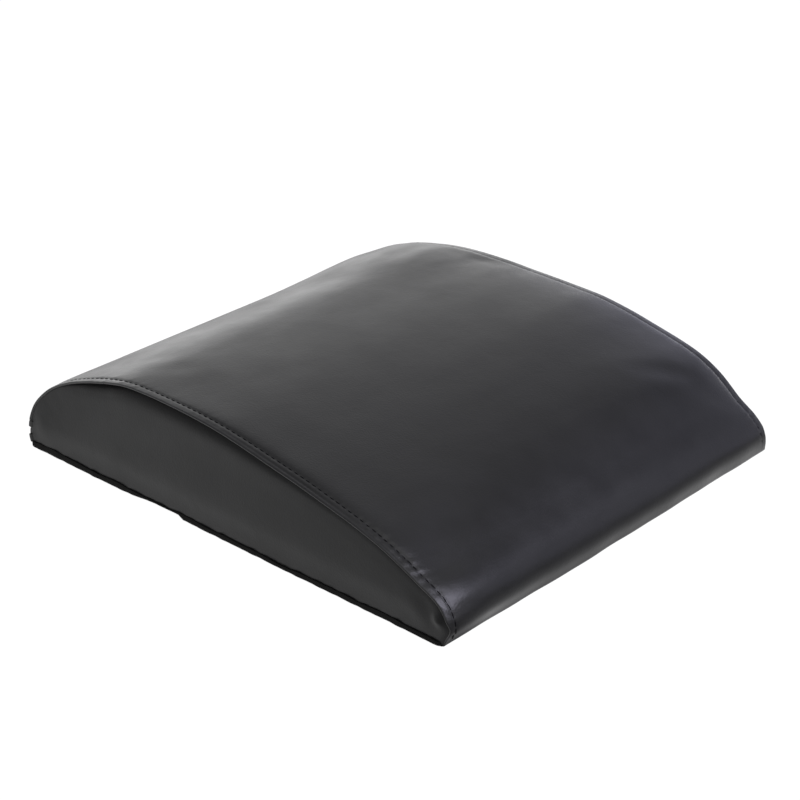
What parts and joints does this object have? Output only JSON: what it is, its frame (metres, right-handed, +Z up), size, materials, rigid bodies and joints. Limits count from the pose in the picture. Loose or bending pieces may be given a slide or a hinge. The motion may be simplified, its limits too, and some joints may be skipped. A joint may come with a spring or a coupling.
{
  "type": "ab mat",
  "caption": "Wedge-shaped foam ab mat in a topstitched black synthetic leather cover, with a non-slip base and a zip low in its rear wall.",
  "frame": {"origin": "on the floor, in the middle of the pad's overall length and width", "axes": "+Z up, +Y from the thin front edge to the tall rear wall, +X across the pad to the right"},
  "size_m": [0.3128, 0.3568, 0.0764],
  "materials": {
    "cover_leather": "satin",
    "side_leather": "satin",
    "foam": "matte",
    "base_fabric": "matte",
    "thread": "matte",
    "zip_tape": "matte",
    "zip_coil": "satin",
    "zip_stop": "satin",
    "zip_slider": "satin"
  },
  "bodies": {
    "pad": {"foam_core": "foam", "top_panel": "cover_leather", "left_side_panel": "side_leather", "right_side_panel": "side_leather", "rear_lower_strip": "cover_leather", "base_panel": "base_fabric", "left_topstitch": "thread", "right_topstitch": "thread", "zip_upper_tape": "zip_tape", "zip_lower_tape": "zip_tape", "zip_upper_coil": "zip_coil", "zip_lower_coil": "zip_coil", "zip_end_stop": "zip_stop", "zip_upper_top_stop": "zip_stop", "zip_lower_top_stop": "zip_stop", "zip_upper_topstitch": "thread", "zip_lower_topstitch": "thread"},
    "slider": {"zip_slider": "zip_slider"},
    "pull_tab": {"zip_pull_tab": "zip_slider"}
  },
  "joints": [
    {"name": "zip_slide", "type": "slide", "parent": "pad", "child": "slider", "axis": [-1, 0, 0], "range_m": [0, 0.264]},
    {"name": "tab_hinge", "type": "hinge", "parent": "slider", "child": "pull_tab", "pos_m": [0.132, 0.17591, 0.01458], "axis": [0, 0.1453, -0.9894], "range_deg": [0, 180]}
  ]
}
